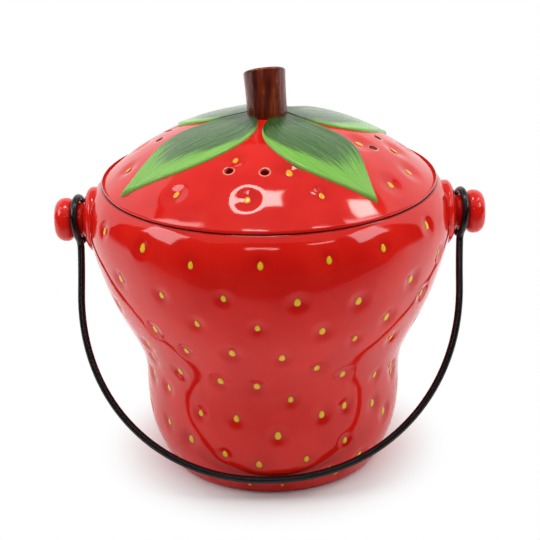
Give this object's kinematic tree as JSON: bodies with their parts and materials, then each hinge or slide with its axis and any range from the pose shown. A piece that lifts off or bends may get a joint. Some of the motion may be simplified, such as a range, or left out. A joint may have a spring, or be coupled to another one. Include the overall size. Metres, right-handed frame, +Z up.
{
  "type": "compost bin",
  "caption": "Round glazed ceramic compost crock in the form of a strawberry, with a vented dome lid lifted by its stem, a swinging wire bail and a charcoal filter held in the lid.",
  "frame": {"origin": "middle of the foot, on the surface that the crock stands on", "axes": "+Z up, -Y the front that the bail hangs on, +X towards the right lug, and the bail turns about an axis along X"},
  "size_m": [0.2398, 0.2012, 0.2277],
  "materials": {
    "red_glaze": "gloss",
    "green_glaze": "gloss, brushed on",
    "brown_glaze": "gloss, brushed on",
    "black_wire": "satin coating on steel wire",
    "filter_felt": "charcoal-filled felt",
    "grille_plastic": "moulded, matt"
  },
  "bodies": {
    "crock": {"crock_body": "red_glaze", "lug_left": "red_glaze", "lug_right": "red_glaze"},
    "lid": {"lid_shell": "red_glaze", "stem_knob": "brown_glaze", "leaf_front_right": "green_glaze", "leaf_front_left": "green_glaze", "leaf_rear_right": "green_glaze", "leaf_rear_left": "green_glaze"},
    "bail": {"bail_wire": "black_wire"},
    "filter_holder": {"filter_grille": "grille_plastic", "charcoal_filter": "filter_felt"}
  },
  "joints": [
    {"name": "lid_lift", "type": "slide", "parent": "crock", "child": "lid", "axis": [0, 0, 1], "range_m": [0, 0.12]},
    {"name": "bail_swing", "type": "hinge", "parent": "crock", "child": "bail", "pos_m": [0, 0, 0.1411], "axis": [-1, 0, 0], "range_deg": [0, 302]},
    {"name": "filter_pull", "type": "slide", "parent": "lid", "child": "filter_holder", "axis": [0, 0, -1], "range_m": [0, 0.03]}
  ]
}
